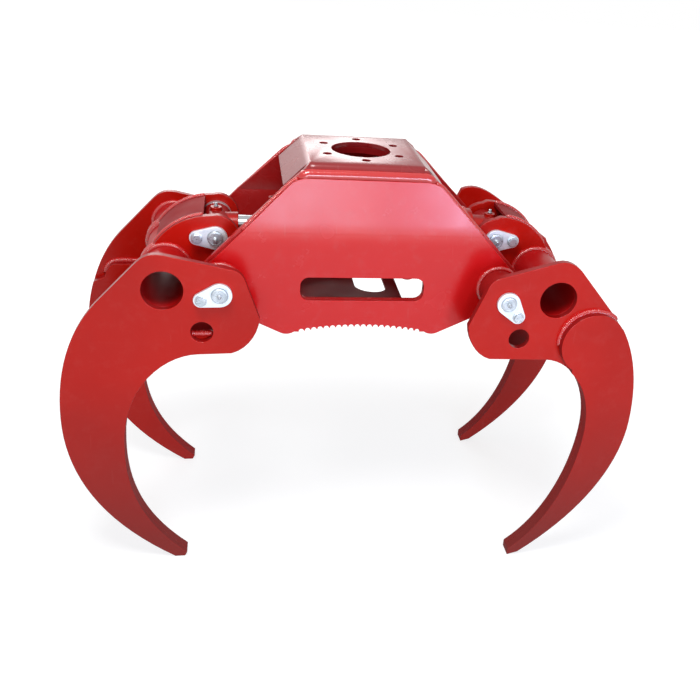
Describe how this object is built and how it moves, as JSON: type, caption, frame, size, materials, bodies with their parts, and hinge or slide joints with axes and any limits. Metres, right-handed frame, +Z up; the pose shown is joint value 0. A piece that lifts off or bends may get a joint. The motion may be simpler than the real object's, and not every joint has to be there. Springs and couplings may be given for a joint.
{
  "type": "log grapple",
  "caption": "Hydraulic log grapple with two arms of paired curved tines on a bent plate body, worked by one level cylinder, with a drilled top plate for a rotator.",
  "frame": {"origin": "middle of the grapple's footprint, on the ground under its tine tips, in the half-open pose of the picture", "axes": "+Z up along the rotator axis, +X from the left arm to the right arm, +Y from the near side to the far side, parallel to the pivot axes"},
  "size_m": [1.208, 0.52, 0.886],
  "materials": {
    "red_paint": "gloss enamel over steel plate",
    "zinc_plate": "bright zinc plating",
    "bright_steel": "turned steel",
    "bronze": "machined bearing bronze",
    "chrome": "hard chrome",
    "dark_steel": "machined iron",
    "seal_rubber": "moulded seal"
  },
  "bodies": {
    "body": {"top_plate": "red_paint", "front_leg": "red_paint", "rear_leg": "red_paint", "top_backing_plate": "red_paint", "front_doubler": "red_paint", "rear_doubler": "red_paint", "belly_plate": "red_paint", "left_collars": "red_paint", "right_collars": "red_paint", "pivot_bushes": "bronze"},
    "left_arm": {"left_front_plate": "red_paint", "left_rear_plate": "red_paint", "left_front_blade": "red_paint", "left_rear_blade": "red_paint", "left_torque_tube": "red_paint", "left_throat_plate": "red_paint", "left_near_lug": "red_paint", "left_far_lug": "red_paint", "left_cover": "red_paint", "left_pivot_pins": "bright_steel", "left_lug_pin": "bright_steel", "left_flags": "zinc_plate", "left_flag_bolts": "bright_steel", "left_nipples": "bright_steel", "left_spacers": "bright_steel"},
    "right_arm": {"right_front_plate": "red_paint", "right_rear_plate": "red_paint", "right_front_blade": "red_paint", "right_rear_blade": "red_paint", "right_torque_tube": "red_paint", "right_throat_plate": "red_paint", "right_near_lug": "red_paint", "right_far_lug": "red_paint", "right_cover": "red_paint", "right_pivot_pins": "bright_steel", "right_lug_pin": "bright_steel", "right_flags": "zinc_plate", "right_flag_bolts": "bright_steel", "right_nipples": "bright_steel"},
    "rod_group": {"rod": "chrome", "rod_eye": "red_paint", "rod_eye_bush": "bronze", "rod_nipple": "bright_steel", "piston": "dark_steel", "piston_seals": "seal_rubber", "piston_nut": "bright_steel"},
    "barrel_group": {"barrel_tube": "red_paint", "barrel_base": "red_paint", "barrel_eye_bush": "bronze", "barrel_nipple": "bright_steel", "gland": "dark_steel", "wiper_ring": "seal_rubber", "hose_ports": "red_paint"}
  },
  "joints": [
    {"name": "left_arm_turn", "type": "hinge", "parent": "body", "child": "left_arm", "pos_m": [-0.289, 0, 0.641], "axis": [0, -1, 0], "range_deg": [-22, 44]},
    {"name": "right_arm_turn", "type": "hinge", "parent": "body", "child": "right_arm", "pos_m": [0.289, 0, 0.641], "axis": [0, -1, 0], "range_deg": [-44, 22]},
    {"name": "rod_turn", "type": "hinge", "parent": "left_arm", "child": "rod_group", "pos_m": [-0.299, 0, 0.714], "axis": [0, -1, 0], "range_deg": [-44, 22]},
    {"name": "barrel_turn", "type": "hinge", "parent": "right_arm", "child": "barrel_group", "pos_m": [0.299, 0, 0.714], "axis": [0, -1, 0], "range_deg": [-22, 44]}
  ],
  "couplings": [
    {"joint": "right_arm_turn", "follows": "left_arm_turn", "ratio": -1},
    {"joint": "rod_turn", "follows": "left_arm_turn", "ratio": -1},
    {"joint": "barrel_turn", "follows": "left_arm_turn", "ratio": 1}
  ]
}
